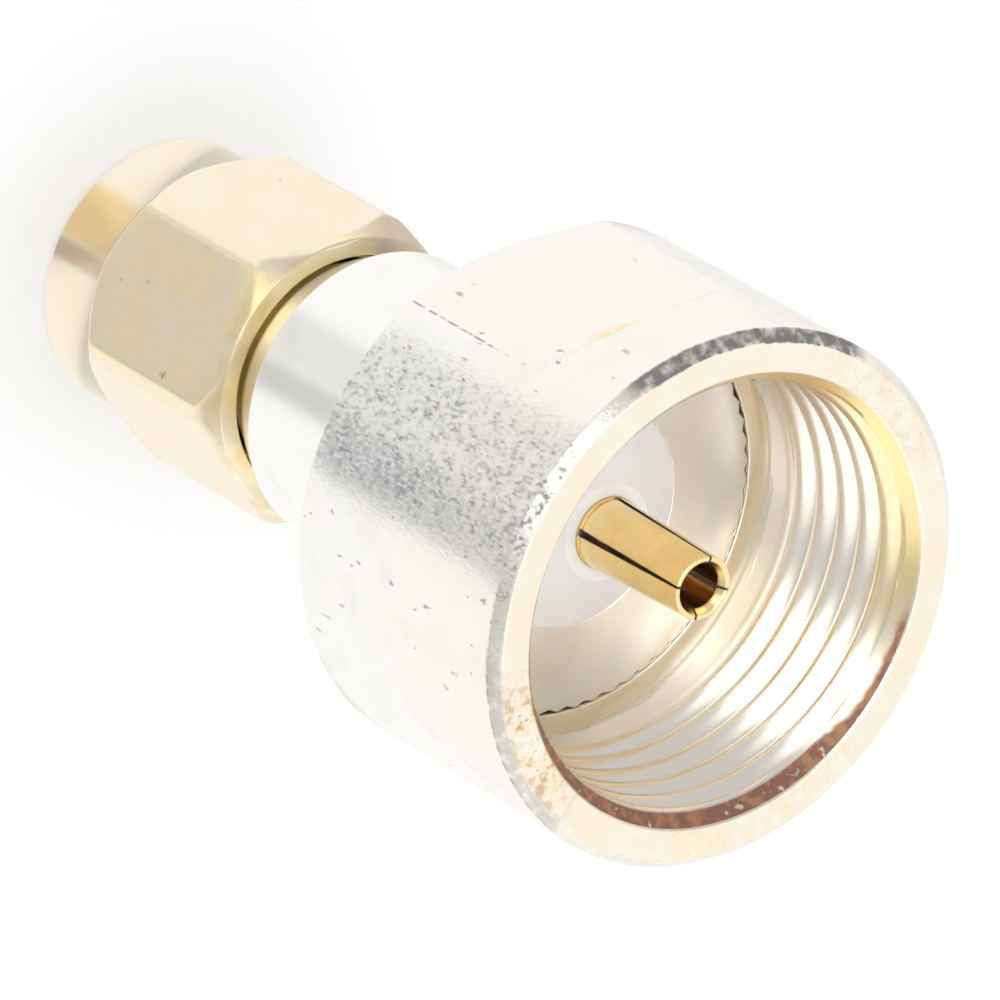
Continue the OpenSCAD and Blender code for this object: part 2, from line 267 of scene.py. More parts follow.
class Value:
    """An output socket. A formula on values adds the nodes that work it out."""

    def __init__(self, graph, socket):
        self.graph = graph
        self.socket = socket

    def calculate(self, operation, *operands):
        kinds = {v.socket.type for v in operands if isinstance(v, Value)}
        kind = "ShaderNodeVectorMath" if kinds & {"VECTOR", "RGBA"} else "ShaderNodeMath"
        return self.graph.node(kind, {"operation": operation}, *operands)

    def __add__(self, other):
        return self.calculate("ADD", self, other)

    def __radd__(self, other):
        return self.calculate("ADD", other, self)

    def __sub__(self, other):
        return self.calculate("SUBTRACT", self, other)

    def __rsub__(self, other):
        return self.calculate("SUBTRACT", other, self)

    def __mul__(self, other):
        return self.calculate("MULTIPLY", self, other)

    def __rmul__(self, other):
        return self.calculate("MULTIPLY", other, self)

    def __truediv__(self, other):
        return self.calculate("DIVIDE", self, other)

    def __pow__(self, other):
        return self.calculate("POWER", self, other)

    def __neg__(self):
        return self.calculate("MULTIPLY", self, -1.0)

    def __abs__(self):
        return self.calculate("ABSOLUTE", self)

    def beside(self, name):
        """Another output of the same node."""
        return Value(self.graph, self.socket.node.outputs[name])

    def least(self, other):
        return self.calculate("MINIMUM", self, other)

    def most(self, other):
        return self.calculate("MAXIMUM", self, other)

    def zigzag(self):
        """Rises from 0 to 1 and falls back to 0 each time that the value goes up by 1."""
        phase = self.calculate("FRACT", self)
        return 1.0 - abs(phase * 2.0 - 1.0)

    def ramp(self, start, end, low=0.0, high=1.0):
        """Goes smoothly from low at start to high at end, and stays there."""
        settings = {"interpolation_type": "SMOOTHSTEP"}
        return self.graph.node("ShaderNodeMapRange", settings, self, start, end, low, high)

    def band(self, low, high, soft):
        """1 between low and high, 0 outside, with soft edges."""
        return self.ramp(low - soft, low + soft) * self.ramp(high + soft, high - soft)


class Graph:
    """A node tree that is filled by one method."""

    def __init__(self, tree):
        self.tree = tree
        tree.nodes.clear()

    def node(self, kind, settings=None, *values, output=0, **named):
        """Adds a node. Settings are set first; values fill its sockets in order and named ones by name.
        The result is the output with the given number or name."""
        node = self.tree.nodes.new(kind)
        for key, setting in (settings or {}).items():
            setattr(node, key, setting)
        sockets = [s for s in node.inputs if s.enabled]
        for socket, value in zip(sockets, values):
            self.feed(socket, value)
        for name, value in named.items():
            title = name.replace("_", " ")
            self.feed(next(s for s in sockets if s.name == title), value)
        outputs = [s for s in node.outputs if s.enabled]
        if not outputs:
            return None
        found = outputs[output] if isinstance(output, int) else node.outputs[output]
        return Value(self, found)

    def feed(self, socket, value):
        """Links a value to a socket, or sets the socket to a number or a colour. None leaves it as it is."""
        if value is None:
            return
        if isinstance(value, Value):
            self.tree.links.new(value.socket, socket)
        elif socket.type == "RGBA":
            socket.default_value = (*value, 1.0)[:4]
        elif socket.type == "VECTOR" and isinstance(value, (int, float)):
            socket.default_value = (value,) * 3
        else:
            socket.default_value = value

    def split(self, vector):
        """The three numbers of a vector."""
        parts = self.node("ShaderNodeSeparateXYZ", None, vector).socket.node.outputs
        return [Value(self, part) for part in parts]

    def mix(self, first, second, factor):
        """The first colour, turning to the second one where the factor is 1."""
        settings = {"data_type": "RGBA", "clamp_factor": True}
        return self.node("ShaderNodeMix", settings, factor, first, second)


# Meshes


def even_angles(count=COLUMNS):
    return [2 * math.pi * i / count for i in range(count + 1)]


def soft_min(first, second, blend):
    """The lesser of two numbers, with a rounded change-over where they are closer than blend."""
    overlap = max(blend - abs(first - second), 0.0) / blend
    return min(first, second) - overlap * overlap * blend / 4


def rounded(outline, radius, steps=3, closed=True):
    """An outline with each corner replaced by a short arc, and a holding point on either side of it.
    Corners on the axis and nearly straight ones stay, and so do the ends of an open outline."""
    nearly_straight = math.radians(8)
    longest_share = 0.3
    holding_share = 1.5
    points = [Vector(p) for p in outline]
    result = []
    for i, corner in enumerate(points):
        is_end = not closed and i in (0, len(points) - 1)
        before = points[i - 1] - corner
        after = points[(i + 1) % len(points)] - corner
        if is_end or corner.x == 0.0 or math.pi - before.angle(after) < nearly_straight:
            result.append(tuple(corner))
            continue
        room = longest_share * min(before.length, after.length)
        reach = min(radius / math.tan(before.angle(after) / 2), room)
        start = corner + before.normalized() * reach
        end = corner + after.normalized() * reach
        result.append(tuple(corner + before.normalized() * holding_share * reach))
        for k in range(steps + 1):
            t = k / steps
            result.append(tuple((1 - t) ** 2 * start + 2 * t * (1 - t) * corner + t * t * end))
        result.append(tuple(corner + after.normalized() * holding_share * reach))
    return result


def built(name, columns, marks=None, ends=False):
    """A closed mesh from columns of (x, y, z) points, each a closed section. Points that meet are welded.
    marks gives attributes: {name: test of the point}. With ends, the first and last column are capped."""
    mesh = bpy.data.meshes.new(name)
    form = bmesh.new()
    layers = {mark: form.verts.layers.float.new(mark) for mark in marks or {}}
    grid = []
    for column in columns:
        grid.append([form.verts.new(point) for point in column])
        for vertex in grid[-1]:
            for mark, test in (marks or {}).items():
                vertex[layers[mark]] = float(test(math.hypot(vertex.co.x, vertex.co.y), vertex.co.z))
    for left, right in zip(grid, grid[1:]):
        for i, corner in enumerate(left):
            j = (i + 1) % len(left)
            form.faces.new((corner, right[i], right[j], left[j]))
    if ends:
        form.faces.new(grid[0])
        form.faces.new(grid[-1])
    bmesh.ops.remove_doubles(form, verts=form.verts, dist=WELD)
    bmesh.ops.recalc_face_normals(form, faces=form.faces)
    form.to_mesh(mesh)
    form.free()
    return mesh


def turned(name, outline, angles=None, marks=None):
    """A mesh turned round the Z axis. Each outline entry is (radius, height), or a function of the angle
    that gives them."""
    columns = []
    for angle in angles or even_angles():
        places = [entry(angle) if callable(entry) else entry for entry in outline]
        columns.append([(r * math.cos(angle), r * math.sin(angle), z) for r, z in places])
    return built(name, columns, marks)


def piece(mesh, name, body, material, node):
    """A finished piece in the scene, riding on its body and standing for a solid."""
    mesh.shade_smooth()
    mesh.set_sharp_from_angle(angle=SHARP)
    mesh.materials.clear()
    mesh.materials.append(material)
    thing = bpy.data.objects.new(name, mesh)
    bpy.context.scene.collection.objects.link(thing)
    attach(thing, body)
    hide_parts(node)


def dress(node, material):
    """Gives a solid that stays its material."""
    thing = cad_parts[node]
    for place in thing.material_slots:
        place.material = material


def worked(mesh, tree, **inputs):
    """The mesh after a Geometry Nodes tree has worked on it, as a plain mesh."""
    thing = bpy.data.objects.new("work", mesh)
    bpy.context.scene.collection.objects.link(thing)
    modifier = thing.modifiers.new("Work", "NODES")
    modifier.node_group = tree
    for item in tree.interface.items_tree:
        title = item.name.lower().replace(" ", "_")
        if item.item_type == "SOCKET" and item.in_out == "INPUT" and title in inputs:
            modifier[item.identifier] = inputs.pop(title)
    if inputs:
        raise RuntimeError(f"{tree.name} has no input named {sorted(inputs)}")
    graph = bpy.context.evaluated_depsgraph_get()
    result = bpy.data.meshes.new_from_object(thing.evaluated_get(graph), depsgraph=graph)
    bpy.data.objects.remove(thing)
    bpy.data.meshes.remove(mesh)
    return result


def new_tree(name, **inputs):
    """An empty Geometry Nodes tree with a mesh and the named inputs, and the value of each of them."""
    tree = bpy.data.node_groups.new(name, "GeometryNodeTree")
    tree.interface.new_socket("Mesh", in_out="INPUT", socket_type="NodeSocketGeometry")
    for title, kind in inputs.items():
        label = title.replace("_", " ").title()
        tree.interface.new_socket(label, in_out="INPUT", socket_type=f"NodeSocket{kind}")
    tree.interface.new_socket("Mesh", in_out="OUTPUT", socket_type="NodeSocketGeometry")
    graph = Graph(tree)
    entry = graph.node("NodeGroupInput")
    values = [Value(graph, s) for s in entry.socket.node.outputs][: len(inputs) + 1]
    return graph, values


def end_tree(graph, geometry, material):
    """Ends a tree in Realize Instances and Set Material."""
    whole = graph.node("GeometryNodeRealizeInstances", None, geometry)
    painted = graph.node("GeometryNodeSetMaterial", None, whole, Material=material)
    graph.node("NodeGroupOutput", None, painted)
    return graph.tree


def polar_place(graph):
    """A point's place, its distance from the axis and its angle round it."""
    place = graph.node("GeometryNodeInputPosition")
    x, y, z = graph.split(place)
    radius = (x * x + y * y) ** 0.5
    angle = x.calculate("ARCTAN2", y, x)
    return x, y, z, radius, angle


def thread_tree():
    """Cuts a right-hand thread into the points of a bore that are marked with the attribute bore."""
    graph, (mesh, minor, depth, pitch, start, end, material) = new_tree(
        "Cut Thread",
        minor_radius="Float",
        depth="Float",
        pitch="Float",
        start_height="Float",
        end_height="Float",
        material="Material",
    )
    x, y, z, radius, angle = polar_place(graph)
    from_crest = ((z - start) / pitch - angle / (2 * math.pi)).zigzag()
    # A flank is a smooth ramp that is cut off before it levels out, so that the root is a sharp V.
    crest_end, ramp_end, cut_height = 0.04, 1.25, 0.889
    flank = from_crest.ramp(crest_end, ramp_end) / cut_height
    fade_turns = 0.8
    run_out = z.ramp(end, end + pitch * fade_turns)
    groove = minor + depth * run_out * flank
    cut = radius.most(groove) / radius
    place = graph.node("ShaderNodeCombineXYZ", None, x * cut, y * cut, z)
    marked = graph.node("GeometryNodeInputNamedAttribute", {"data_type": "FLOAT"}, "bore")
    is_bore = marked.calculate("GREATER_THAN", marked, 0.5)
    moved = graph.node("GeometryNodeSetPosition", None, mesh, is_bore, place)
    return end_tree(graph, moved, material)


def knurl_tree():
    """Cuts straight teeth into the points of a rim that are marked with the attribute rim."""
    graph, (mesh, teeth, depth, material) = new_tree(
        "Knurl Rim", teeth="Float", depth="Float", material="Material"
    )
    x, y, z, radius, angle = polar_place(graph)
    from_tip = (angle * teeth / (2 * math.pi)).zigzag()
    marked = graph.node("GeometryNodeInputNamedAttribute", {"data_type": "FLOAT"}, "rim")
    cut = 1.0 - marked * from_tip * depth / radius
    place = graph.node("ShaderNodeCombineXYZ", None, x * cut, y * cut, z)
    moved = graph.node("GeometryNodeSetPosition", None, mesh, None, place)
    return end_tree(graph, moved, material)


def ring_tree():
    """Sets copies of a mesh round the Z axis."""
    graph, (mesh, count, first_turn, material) = new_tree(
        "Ring Of Copies", count="Int", first_turn="Float", material="Material"
    )
    points = graph.node("GeometryNodePoints", None, count)
    index = graph.node("GeometryNodeInputIndex")
    angle = first_turn + index * (2 * math.pi) / count
    copies = graph.node("GeometryNodeInstanceOnPoints", None, points, Instance=mesh)
    axis = graph.node("ShaderNodeCombineXYZ", None, 0.0, 0.0, angle)
    turned_copies = graph.node("GeometryNodeRotateInstances", None, copies, None, axis)
    return end_tree(graph, turned_copies, material)


# Forms


def from_nearest(angle, first, step):
    """The angle to the nearest of the directions first, first + step and so on."""
    away = (angle - first) % step
    return min(away, step - away)


def level(height):
    """An edge that lies at one height all round."""
    return lambda angle: height


def between(wall, first, last, parts):
    """Outline entries on a wall, at parts of the way from its first edge to its last."""

    def edge(part):
        return lambda angle: first(angle) + part * (last(angle) - first(angle))

    return [wall(edge(part)) for part in parts]


def beside(wall, edge, blend, steps):
    """Outline entries on a wall close to an edge, in steps of its softening."""
    return [wall(lambda angle, step=step: edge(angle) + step * blend) for step in steps]


def helix_rows(start, top, bottom, pitch, radius_at):
    """Outline entries down a threaded bore. They climb with the thread and stop at the bore's ends, so that
    crests and roots run along the rows of the mesh."""
    step = pitch / THREAD_ROWS
    count = math.ceil((top - bottom + pitch) / step)

    def entry(drop):
        def place(angle):
            climb = pitch * (angle - start) / (2 * math.pi)
            height = min(max(top - drop + climb, bottom), top)
            return radius_at(height), height

        return place

    return [entry(i * step) for i in range(count + 1)]


def cut_thread(mesh, sizes, start, end, material):
    """The mesh with a thread in its bore. The helix is raised to the height start, and fades out downwards
    to the height end."""
    return worked(
        mesh,
        thread_tree(),
        minor_radius=sizes.minor_diameter / 2,
        depth=(sizes.major_diameter - sizes.minor_diameter) / 2,
        pitch=sizes.pitch,
        start_height=start,
        end_height=end,
        material=material,
    )


def shell_angles(start, flat_turn, flat_edge):
    """Directions of the shell's columns, once round from start. They lie closer together where a wrench flat
    meets the round wall."""
    flat_columns = 14
    plain_columns = 96
    close = math.radians(0.17)
    plain = math.pi - 2 * flat_edge
    flat_steps = [
        flat_edge * math.sin(math.pi / 2 * i / flat_columns) for i in range(-flat_columns, flat_columns + 1)
    ]
    edge_steps = [flat_edge + close * i for i in (1, 2, 3)]
    plain_steps = [flat_edge + plain * i / plain_columns for i in range(1, plain_columns)]
    steps = sorted(flat_steps + edge_steps + [math.pi - step for step in edge_steps] + plain_steps)
    angles = [flat_turn + side + step for side in (0.0, math.pi) for step in steps]
    angles = [start + (angle - start) % (2 * math.pi) for angle in angles]
    return sorted(set([start, *angles, start + 2 * math.pi]))


def shell_mesh(sizes, material):
    """The coupling shell: a turned shell with two milled wrench flats and a threaded mouth."""
    radius = SHELL_HIGH.x
    rear = SHELL_LOW.z
    mouth = SHELL_HIGH.z
    blend = sizes.edge_blend
    flat = sizes.across_flats / 2
    flat_edge = math.acos(flat / radius)
    level_end = rear + sizes.flat_length
    cutter = sizes.runout_radius
    flat_turn = math.pi / 2

    def cut_at(angle, height):
        """Radius at which a wrench flat, or its run-out, cuts the wall."""
        off = from_nearest(angle, flat_turn, math.pi)
        run = height - level_end
        if off > 2 * flat_edge or run >= cutter:
            return 2 * radius
        depth = flat if run <= 0 else flat + cutter - math.sqrt(cutter * cutter - run * run)
        return depth / math.cos(off)

    def wall(height_at):
        def place(angle):
            height = height_at(angle)
            chamfered = soft_min(radius, radius - sizes.rear_chamfer + height - rear, blend)
            chamfered = soft_min(chamfered, radius - sizes.mouth_chamfer + mouth - height, blend)
            return soft_min(chamfered, cut_at(angle, height), blend), height

        return place

    def chamfer_end(angle):
        return rear + sizes.rear_chamfer - radius + min(radius, cut_at(angle, rear))

    def runout_end(angle):
        off = from_nearest(angle, flat_turn, math.pi)
        if off >= flat_edge:
            return level_end
        rise = flat + cutter - radius * math.cos(off)
        return level_end + math.sqrt(max(cutter * cutter - rise * rise, 0.0))

    mouth_edge = level(mouth - sizes.mouth_chamfer)
    outside = between(wall, level(rear), chamfer_end, (0.3, 0.6, 0.85))
    outside += beside(wall, chamfer_end, blend, (-0.6, -0.3, 0.0, 0.3, 0.6))
    outside += between(wall, chamfer_end, level(level_end), (0.2, 0.4, 0.6, 0.8))
    outside += between(wall, level(level_end), runout_end, [i / 12 for i in range(12)])
    outside += beside(wall, runout_end, blend, (0.0, 0.5, 1.2))
    outside += between(wall, runout_end, mouth_edge, (0.3, 0.6, 0.85))
    outside += beside(wall, mouth_edge, blend, (-0.6, -0.3, 0.0, 0.3, 0.6))

    minor = sizes.minor_diameter / 2
    mouth_radius = sizes.mouth_diameter / 2
    relief = sizes.relief_diameter / 2
    relief_start = mouth - sizes.thread_length
    relief_end = relief_start - (relief - minor) / 2
    thread_top = mouth - RIM_DEPTH
    half_chamfer = sizes.mouth_chamfer / 2
    face = rounded(
        [
            (radius - half_chamfer, mouth - half_chamfer),
            (radius - sizes.mouth_chamfer, mouth),
            (mouth_radius, mouth),
            (mouth_radius - RIM_DEPTH, thread_top),
        ],
        RIM_RADIUS,
        closed=False,
    )

    def bore(height):
        lead_in = mouth_radius - (mouth - height)
        run_out = minor + 2 * (relief_start - height)
        return max(minor, lead_in, min(run_out, relief))

    shelf = FRONT_HIGH.z - bpy.context.scene.body_sizes.shelf_step
    rim_bore = FRONT_HIGH.x + sizes.hub_clearance
    web = rear + sizes.web_thickness
    web_bore = bpy.context.scene.body_sizes.hub_diameter / 2 + sizes.hub_clearance
    # The last point only shows the way that the outline goes on.
    inside = rounded(
        [
            (relief, relief_end),
            (relief, shelf),
            (rim_bore, shelf),
            (rim_bore, web),
            (web_bore, web),
            (web_bore, rear),
            (radius - sizes.rear_chamfer, rear),
            wall(level(rear + 0.3 * sizes.rear_chamfer))(0.0),
        ],
        blend,
        closed=False,
    )[:-1]

    start = -math.pi / 4
    threaded = helix_rows(start, thread_top, relief_end, sizes.pitch, bore)
    mesh = turned(
        "coupling_shell",
        outside + face + threaded + inside,
        shell_angles(start, flat_turn, flat_edge),
        {"bore": lambda radius, height: height > relief_end - WELD and radius < relief + WELD},
    )
    return cut_thread(mesh, sizes, sizes.thread_start, relief_start + sizes.run_out, material)


def insulator_seat():
    """Height of the insulator's seat in the flange."""
    return FRONT_HIGH.z - bpy.context.scene.body_sizes.insulator_length


def front_body_mesh(sizes, material):
    """The front body: a knurled flange on a hub and a spigot, with the insulator's seat."""
    face = FRONT_HIGH.z
    back = face - sizes.flange_thickness
    knurl_end = face - sizes.knurl_length
    shoulder = MAIN_HIGH.z
    spigot_end = FRONT_LOW.z
    rim = FRONT_HIGH.x
    hub = sizes.hub_diameter / 2
    spigot = sizes.spigot_diameter / 2
    bore = sizes.bore_diameter / 2
    seat = INSULATOR_HIGH.x
    tooth_end = 0.02 * MM
    outline = rounded(
        [
            (bore, spigot_end),
            (spigot, spigot_end),
            (spigot, shoulder),
            (hub, shoulder),
            (hub, back),
            (rim, back),
            (rim, knurl_end - tooth_end),
            (rim, knurl_end),
            (rim, face),
            (seat, face),
            (seat, insulator_seat()),
            (bore, insulator_seat()),
        ],
        0.5 * sizes.edge_radius,
    )
    columns = 6 * sizes.teeth
    root = rim - sizes.tooth_depth
    knurled = {"rim": lambda radius, height: radius > root and height > knurl_end - tooth_end / 2}
    mesh = turned("front_body", outline, even_angles(columns), knurled)
    teeth = float(sizes.teeth)
    return worked(mesh, knurl_tree(), teeth=teeth, depth=sizes.tooth_depth, material=material)


def main_body_mesh(sizes):
    """The main body: neck, taper, shank with the ring's groove, and the outer contact tube."""
    shoulder = MAIN_HIGH.z
    plane = MAIN_LOW.z
    neck = MAIN_HIGH.x
    neck_start = shoulder - sizes.neck_length + sizes.taper_length
    taper_start = shoulder - sizes.neck_length
    taper = sizes.taper_diameter / 2
    shank = sizes.shank_diameter / 2
    groove = shank - sizes.groove_depth
    side_gap = 0.05 * MM
    tube = sizes.tube_diameter / 2
    tube_end = GASKET_HIGH.z
    bore = sizes.bore_diameter / 2
    spigot = sizes.spigot_diameter / 2 + PRESS_GAP
    spigot_end = FRONT_LOW.z
    outline = [
        (bore, plane),
        (tube, plane),
        (tube, tube_end),
        (shank, tube_end),
        (shank, RING_LOW.z - side_gap),
        (groove, RING_LOW.z - side_gap),
        (groove, RING_HIGH.z + side_gap),
        (shank, RING_HIGH.z + side_gap),
        (shank, NUT_HIGH.z),
        (taper, taper_start),
        (neck, neck_start),
        (neck, shoulder),
        (spigot, shoulder),
        (spigot, spigot_end),
        (bore, spigot_end),
    ]
    return turned("main_body", rounded(outline, sizes.edge_radius))


def insulator_mesh(sizes, contact):
    """The face insulator: a stepped disc with a conical boss round the contact."""
    face = FRONT_HIGH.z
    top = INSULATOR_HIGH.z
    seat = insulator_seat()
    start = INSULATOR_LOW.z
    wide = sizes.face_diameter / 2
    stem = bpy.context.scene.body_sizes.bore_diameter / 2 - PRESS_GAP
    pin = sizes.pin_diameter / 2
    hole = contact.root_diameter / 2
    boss_top = hole + sizes.boss_top_width
    step = seat + sizes.step_height
    outline = [
        (pin, start),
        (stem, start),
        (stem, seat),
        (wide, seat),
        (wide, face),
        (boss_top, top),
        (hole, top),
        (hole, step),
        (pin, step),
    ]
    return turned("face_insulator", rounded(outline, sizes.edge_radius))


def contact_mesh(sizes, material):
    """The socket contact: a turned stem and the fingers that its slots leave."""
    tip = CONTACT_HIGH.z
    start = CONTACT_LOW.z
    boss = INSULATOR_HIGH.z
    slot_end = boss + sizes.slot_rise
    root_radius = sizes.root_diameter / 2
    tip_radius = sizes.tip_diameter / 2
    bore = sizes.bore_diameter / 2
    round_off = sizes.tip_radius
    pin = bpy.context.scene.insulator_sizes.pin_diameter / 2
    step = insulator_seat() + bpy.context.scene.insulator_sizes.step_height
    tail = sizes.tail_bore_diameter / 2
    tail_end = start + sizes.tail_bore_depth
    drill_end = slot_end - bore
    drill_tip = slot_end - 1.3 * bore

    def outside(height):
        part = (height - boss) / (tip - round_off - boss)
        return root_radius + (tip_radius - root_radius) * max(part, 0.0)

    stem_outline = [
        (tail, start),
        (pin, start),
        (pin, step),
        (root_radius, step),
        (root_radius, boss),
        (outside(slot_end), slot_end),
        (bore, slot_end),
        (bore, drill_end),
        (0.0, drill_tip),
        (0.0, tail_end),
        (tail, tail_end),
    ]
    stem = turned("contact_stem", rounded(stem_outline, sizes.edge_radius), even_angles(STEM_COLUMNS))
    lead_end = tip - 1.5 * sizes.lead_in
    curl_start = tip - 2 * round_off
    finger_outline = rounded(
        [
            (outside(slot_end), slot_end),
            (outside(curl_start), curl_start),
            (tip_radius, tip),
            (bore + sizes.lead_in, tip),
            (bore, lead_end),
            (bore, slot_end),
        ],
        round_off,
        steps=6,
    )
    spread = 2 * math.pi / sizes.fingers
    columns = []
    for i in range(FINGER_COLUMNS + 1):
        column = []
        for radius, height in finger_outline:
            risen = (height - slot_end) / (tip - slot_end)
            slot = sizes.slot_width + risen * (sizes.tip_slot_width - sizes.slot_width)
            edge = math.asin(slot / 2 / radius)
            angle = edge + (spread - 2 * edge) * i / FINGER_COLUMNS
            column.append((radius * math.cos(angle), radius * math.sin(angle), height))
        columns.append(column)
    finger = built("contact_finger", columns, ends=True)
    first = sizes.slot_turn
    fingers = worked(finger, ring_tree(), count=sizes.fingers, first_turn=first, material=material)
    return joined("socket_contact", stem, fingers)


def joined(name, *meshes):
    """One mesh that holds the others."""
    form = bmesh.new()
    for mesh in meshes:
        form.from_mesh(mesh)
        bpy.data.meshes.remove(mesh)
    whole = bpy.data.meshes.new(name)
    form.to_mesh(whole)
    form.free()
    return whole


def nut_angles(start, facet_turn, corner_edge):
    """Directions of the nut's columns, once round from start. They lie closer together where a turned corner
    meets the hexagon's flats."""
    sixth = math.pi / 3
    flat_columns = 11
    flat_steps = [corner_edge * i / flat_columns for i in range(flat_columns)]
    edge_steps = [corner_edge + math.radians(step) for step in (-2.0, -1.3, -0.7, -0.3, 0.0, 0.3, 0.7, 1.3)]
    steps = flat_steps + edge_steps
    steps = sorted(set(steps + [-step for step in steps] + [sixth / 2]))
    return sorted(set([start, *[facet_turn + side * sixth + step for side in range(6) for step in steps]]))


def nut_mesh(sizes, material):
    """The coupling nut of the small end: a hexagon with turned corners, a collar and a threaded bore."""
    front = NUT_LOW.z
    rear = NUT_HIGH.z
    blend = sizes.edge_blend
    flat = sizes.across_flats / 2
    corner = sizes.corner_diameter / 2
    collar = sizes.collar_diameter / 2
    collar_end = front + sizes.collar_length
    tail_start = rear - sizes.tail_length
    slope = math.tan(sizes.corner_angle)
    corner_edge = math.acos(flat / corner)
    sixth = math.pi / 3

    def facet(angle):
        return flat / math.cos(from_nearest(angle, sizes.facet_turn, sixth))

    def wall(height_at):
        def place(angle):
            height = height_at(angle)
            cone = min(collar + (height - collar_end) * slope, corner - (height - tail_start) * slope)
            turned_radius = soft_min(corner, cone, blend)
            return soft_min(turned_radius, facet(angle), blend), height

        return place

    def facet_start(angle):
        return collar_end + (min(facet(angle), corner) - collar) / slope

    def facet_end(angle):
        return tail_start + (corner - min(facet(angle), corner)) / slope

    front_points = rounded(
        [
            (sizes.mouth_diameter / 2, front),
            (collar - sizes.collar_edge, front),
            (collar, front + sizes.collar_edge),
            (collar, collar_end),
        ],
        blend,
        closed=False,
    )
    outside = between(wall, level(collar_end), facet_start, (0.4, 0.8))
    outside += beside(wall, facet_start, blend, (-0.5, 0.0, 0.5, 1.0))
    outside += between(wall, facet_start, facet_end, (0.15, 0.3, 0.5, 0.7, 0.85))
    outside += beside(wall, facet_end, blend, (-1.0, -0.5, 0.0, 0.5))
    outside += between(wall, facet_end, level(rear), (0.4, 0.8))

    minor = sizes.minor_diameter / 2
    bore = sizes.bore_diameter / 2
    thread_end = front + sizes.thread_length + (bore - minor) / 2
    rear_bore = sizes.rear_diameter / 2
    groove = sizes.ring_groove_diameter / 2
    ring_gap = 0.1 * MM
    # The first point only shows the way that the outline comes.
    rear_points = rounded(
        [
            wall(level(rear - 2 * blend))(0.0),
            (corner - sizes.tail_length * slope, rear),
            (rear_bore, rear),
            (rear_bore, rear - sizes.rear_depth),
            (bore, rear - sizes.rear_depth),
            (bore, RING_HIGH.z + ring_gap),
            (groove, RING_HIGH.z + ring_gap),
            (groove, RING_LOW.z - ring_gap),
            (bore, RING_LOW.z - ring_gap),
            (bore, thread_end),
        ],
        RIM_RADIUS,
        closed=False,
    )[1:]

    def bore_at(height):
        lead_in = sizes.mouth_diameter / 2 - (height - front)
        run_out = minor + 2 * (height - front - sizes.thread_length)
        return max(minor, lead_in, min(run_out, bore))

    start = sizes.facet_turn - sixth / 2
    threaded = helix_rows(start, thread_end, front + RIM_RADIUS, sizes.pitch, bore_at)
    mesh = turned(
        "sma_nut",
        front_points + outside + rear_points + threaded,
        nut_angles(start, sizes.facet_turn, corner_edge),
        {"bore": lambda radius, height: radius < bore + WELD and front + WELD < height < thread_end},
    )
    return cut_thread(mesh, sizes, front, front - sizes.pitch, material)


# Finishes


def around(east, north):
    """Turn round the axis in degrees: 0 at the south-east, 90 at the south-west."""
    return east.calculate("ARCTAN2", -(east + north), east - north) * (180 / math.pi)


class Surface:
    """A material in the making. It knows where a point lies on its piece, in millimetres and degrees."""

    def __init__(self, name):
        self.material = bpy.data.materials.new(name)
        self.material.use_nodes = True
        self.graph = Graph(self.material.node_tree)
        coordinates = self.graph.node("ShaderNodeTexCoord", None, output="Object")
        self.place = coordinates * (1 / MM)
        self.x, self.y, self.height = self.graph.split(self.place)
        self.radius = (self.x * self.x + self.y * self.y) ** 0.5
        self.turn = around(self.x, self.y)

    def noise(self, size, detail=2.0, place=None):
        """A random value round 0.5 that changes over the given size."""
        return self.graph.node("ShaderNodeTexNoise", None, place or self.place, Scale=1 / size, Detail=detail)

    def turning_marks(self, size):
        """Fine rings that a lathe leaves, on walls and on faces."""
        rings = self.graph.node(
            "ShaderNodeCombineXYZ", None, self.radius * (1 / size), self.height * (1 / size), self.turn * 0.01
        )
        return self.noise(1.0, 1.0, rings)

    def pits(self, wander, spacing, amount, size, stretch):
        """1 in scattered ragged pits. Wander is a random colour that makes them ragged. Spacing is the width
        of the cells that may hold a pit, and amount is the share of them that do. Size is the largest
        half-width of a pit, and stretch is how many times longer than wide it is."""
        ragged = (self.place + (wander - 0.5) * (2.5 * size)) * (1.0, 1.0, 1 / stretch)
        cell = self.graph.node("ShaderNodeTexVoronoi", None, ragged, Scale=1 / spacing)
        chance, scale, _ = self.graph.split(cell.beside("Color"))
        reach = size * (0.35 + 0.65 * scale) / spacing
        is_held = chance.calculate("LESS_THAN", chance, amount)
        return is_held * cell.ramp(reach * 0.5, reach, 1.0, 0.0)

    def coats(self, tone, *coats):
        """A colour under coats. Each coat is a colour and a mask, which is 1 where the coat covers fully."""
        for coat, mask in coats:
            tone = self.graph.mix(tone, coat, mask)
        return tone

    def shader(self, tone, roughness, metallic, relief=None, depth=0.0):
        """Relief is a height from 0 to 1, and depth what 1 stands for in millimetres."""
        normal = None
        if relief is not None:
            normal = self.graph.node("ShaderNodeBump", None, Height=relief, Distance=depth * MM)
        return self.graph.node(
            "ShaderNodeBsdfPrincipled",
            None,
            Base_Color=tone,
            Roughness=roughness,
            Metallic=metallic,
            Normal=normal,
        )

    def finish(self, shader):
        self.graph.node("ShaderNodeOutputMaterial", None, shader)
        return self.material


def worn_nickel(colours):
    """The shell's plating. The wall and the bore have a shader each, which works out only its own marks."""
    made = Surface("worn_nickel")
    opening = bpy.context.scene.shell_sizes.mouth_diameter / 2 / MM
    depth = SHELL_HIGH.z / MM - made.height
    is_narrow = made.radius.calculate("LESS_THAN", made.radius, opening + 0.2)
    is_bore = is_narrow * depth.calculate("GREATER_THAN", depth, 0.05)
    sides = worn_wall(made, depth, colours), tarnished_bore(made, depth, colours)
    return made.finish(made.graph.node("ShaderNodeMixShader", None, is_bore, *sides))


